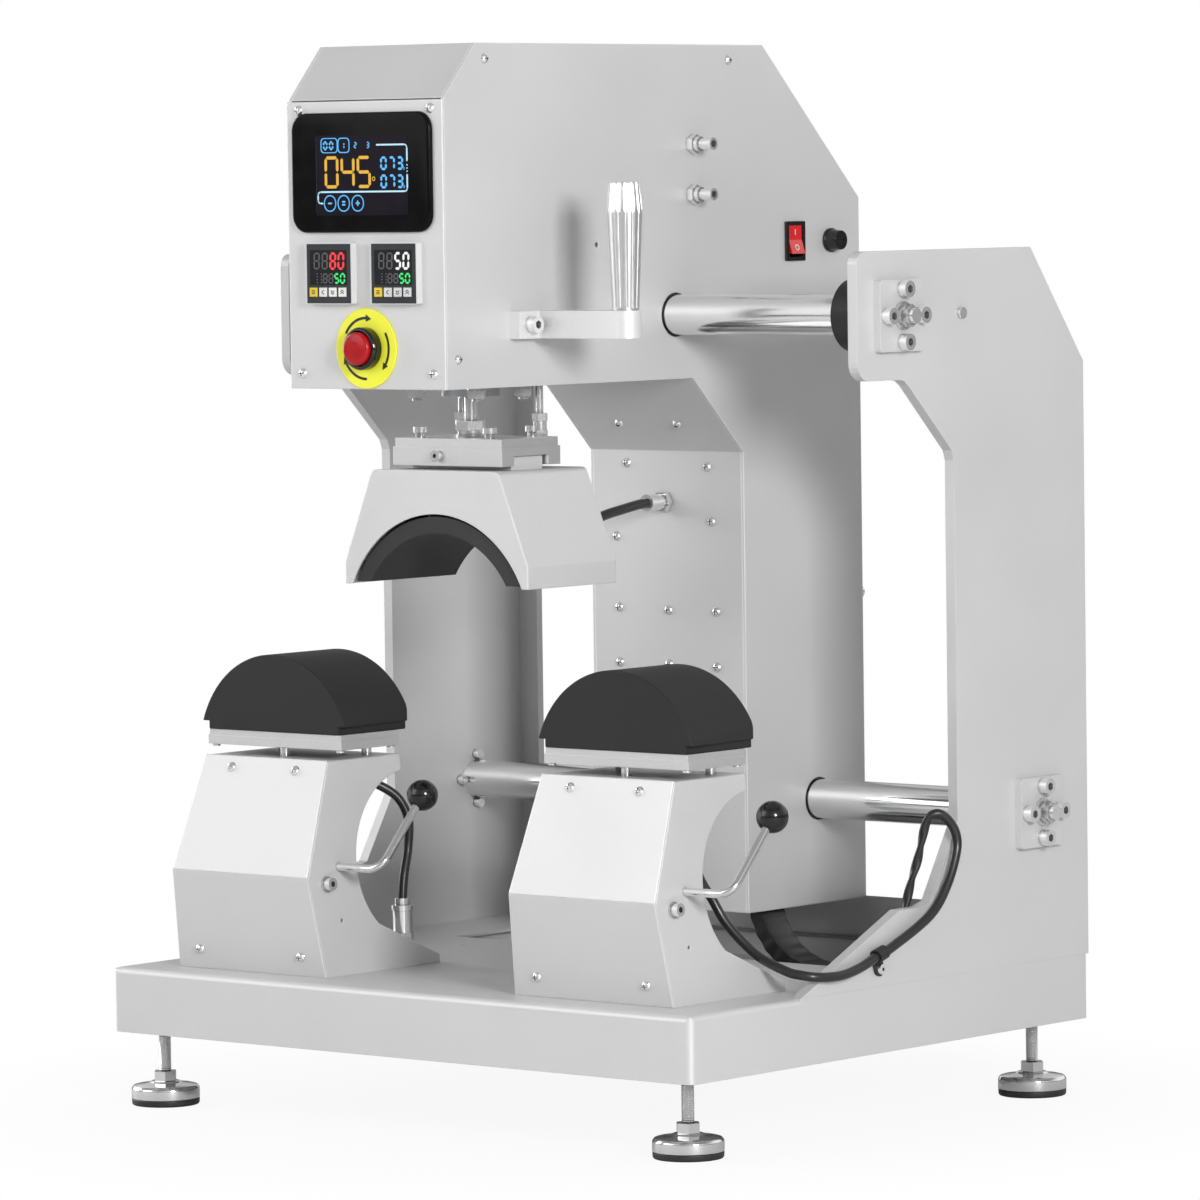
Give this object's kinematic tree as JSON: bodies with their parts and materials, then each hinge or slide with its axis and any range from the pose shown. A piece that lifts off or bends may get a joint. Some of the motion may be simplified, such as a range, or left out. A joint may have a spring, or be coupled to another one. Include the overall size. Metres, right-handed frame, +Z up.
{
  "type": "cap heat press",
  "caption": "Pneumatic cap heat press: a sliding head with a curved heated platen over a pair of domed stations on a footed base.",
  "frame": {"origin": "on the floor under the middle of the machine's box", "axes": "+Z up, +X to the right along the front, the front faces -Y"},
  "size_m": [0.641, 0.5458, 0.845],
  "materials": {
    "silver_paint": "fine metallic silver powder coat",
    "trough_grey": "grey powder coat",
    "plate_aluminium": "bead blasted, anodised silver",
    "polished_steel": "ground and hard chromed",
    "screw_steel": "stainless, lightly turned",
    "foot_chrome": "chromed steel on a rubber pad",
    "black_rubber": "matt black",
    "chain_nylon": "moulded black nylon",
    "pad_silicone": "matt black silicone sponge",
    "platen_coating": "black non-stick coating",
    "bearing_steel": "satin",
    "cylinder_aluminium": "anodised",
    "board_green": "solder mask over glass fibre",
    "display_black": "gloss black front",
    "controller_black": "fine moulded grain",
    "key_yellow": "rubber key",
    "key_white": "rubber key",
    "estop_yellow": "satin",
    "button_red": "moulded red",
    "switch_black": "gloss black",
    "rocker_red": "clear red rocker"
  },
  "bodies": {
    "frame": {"base_tray": "silver_paint", "side_plate_left": "plate_aluminium", "side_plate_right": "plate_aluminium", "rear_trough": "trough_grey", "slide_shafts": "polished_steel", "shaft_end_plates": "plate_aluminium", "shaft_bolts": "screw_steel", "shaft_bumpers": "black_rubber", "cable_clip": "black_rubber", "lead_fittings": "screw_steel", "right_lead": "black_rubber", "left_lead": "black_rubber", "station_body_left": "silver_paint", "station_body_right": "silver_paint", "station_covers": "silver_paint", "station_screws": "screw_steel", "platen_bases": "plate_aluminium", "platen_posts": "screw_steel", "silicone_pads": "pad_silicone"},
    "carriage": {"side_panel_left": "silver_paint", "side_panel_right": "silver_paint", "head_cover": "silver_paint", "front_panel": "silver_paint", "column_cover": "silver_paint", "head_plate": "plate_aluminium", "slide_bearings": "bearing_steel", "touch_display": "display_black", "controllers": "controller_black", "estop_bezel": "estop_yellow", "switch_frame": "switch_black", "air_fittings": "screw_steel", "handle_bracket": "plate_aluminium", "handle_grip": "plate_aluminium", "carriage_screws": "screw_steel", "air_cylinder": "cylinder_aluminium", "control_unit": "board_green", "drag_chain": "chain_nylon", "hot_lead": "black_rubber"},
    "press": {"press_rods": "polished_steel", "clamp_block": "plate_aluminium", "hot_cover": "silver_paint", "hot_platen": "platen_coating"},
    "left_clamp_lever": {"lever_left": "polished_steel", "knob_left": "switch_black"},
    "right_clamp_lever": {"lever_right": "polished_steel", "knob_right": "switch_black"},
    "stop_button": {"estop_button": "button_red"},
    "power_rocker": {"rocker_switch": "rocker_red"},
    "foot_front_left_body": {"foot_front_left": "foot_chrome"},
    "foot_front_right_body": {"foot_front_right": "foot_chrome"},
    "foot_back_left_body": {"foot_back_left": "foot_chrome"},
    "foot_back_right_body": {"foot_back_right": "foot_chrome"},
    "key_l1_body": {"key_l1": "key_yellow"},
    "key_l2_body": {"key_l2": "key_white"},
    "key_l3_body": {"key_l3": "key_white"},
    "key_l4_body": {"key_l4": "key_white"},
    "key_r1_body": {"key_r1": "key_yellow"},
    "key_r2_body": {"key_r2": "key_white"},
    "key_r3_body": {"key_r3": "key_white"},
    "key_r4_body": {"key_r4": "key_white"}
  },
  "joints": [
    {"name": "carriage_slide", "type": "slide", "parent": "frame", "child": "carriage", "axis": [1, 0, 0], "range_m": [-0.1775, 0.1775], "deforming": ["drag_chain"]},
    {"name": "press_slide", "type": "slide", "parent": "carriage", "child": "press", "axis": [0, 0, -1], "range_m": [0, 0.099], "deforming": ["hot_lead"]},
    {"name": "left_lever_pivot", "type": "hinge", "parent": "frame", "child": "left_clamp_lever", "pos_m": [-0.1775, -0.18345, 0.1983], "axis": [1, 0, 0], "range_deg": [-20, 75]},
    {"name": "right_lever_pivot", "type": "hinge", "parent": "frame", "child": "right_clamp_lever", "pos_m": [0.1775, -0.18345, 0.1983], "axis": [1, 0, 0], "range_deg": [-20, 75]},
    {"name": "stop_push", "type": "slide", "parent": "carriage", "child": "stop_button", "axis": [0, 1, 0], "range_m": [0, 0.004], "stiffness_N_per_m": 1500},
    {"name": "power_rock", "type": "hinge", "parent": "carriage", "child": "power_rocker", "pos_m": [0.076, 0.17255, 0.687], "axis": [0, 1, 0], "range_deg": [0, 18]},
    {"name": "key_l1_press", "type": "slide", "parent": "carriage", "child": "key_l1_body", "axis": [0, 1, 0], "range_m": [0, 0.0005], "stiffness_N_per_m": 600},
    {"name": "key_l2_press", "type": "slide", "parent": "carriage", "child": "key_l2_body", "axis": [0, 1, 0], "range_m": [0, 0.0005], "stiffness_N_per_m": 600},
    {"name": "key_l3_press", "type": "slide", "parent": "carriage", "child": "key_l3_body", "axis": [0, 1, 0], "range_m": [0, 0.0005], "stiffness_N_per_m": 600},
    {"name": "key_l4_press", "type": "slide", "parent": "carriage", "child": "key_l4_body", "axis": [0, 1, 0], "range_m": [0, 0.0005], "stiffness_N_per_m": 600},
    {"name": "key_r1_press", "type": "slide", "parent": "carriage", "child": "key_r1_body", "axis": [0, 1, 0], "range_m": [0, 0.0005], "stiffness_N_per_m": 600},
    {"name": "key_r2_press", "type": "slide", "parent": "carriage", "child": "key_r2_body", "axis": [0, 1, 0], "range_m": [0, 0.0005], "stiffness_N_per_m": 600},
    {"name": "key_r3_press", "type": "slide", "parent": "carriage", "child": "key_r3_body", "axis": [0, 1, 0], "range_m": [0, 0.0005], "stiffness_N_per_m": 600},
    {"name": "key_r4_press", "type": "slide", "parent": "carriage", "child": "key_r4_body", "axis": [0, 1, 0], "range_m": [0, 0.0005], "stiffness_N_per_m": 600},
    {"name": "foot_front_left_height", "type": "slide", "parent": "frame", "child": "foot_front_left_body", "axis": [0, 0, 1], "range_m": [0, 0.012]},
    {"name": "foot_front_right_height", "type": "slide", "parent": "frame", "child": "foot_front_right_body", "axis": [0, 0, 1], "range_m": [0, 0.012]},
    {"name": "foot_back_left_height", "type": "slide", "parent": "frame", "child": "foot_back_left_body", "axis": [0, 0, 1], "range_m": [0, 0.012]},
    {"name": "foot_back_right_height", "type": "slide", "parent": "frame", "child": "foot_back_right_body", "axis": [0, 0, 1], "range_m": [0, 0.012]}
  ]
}
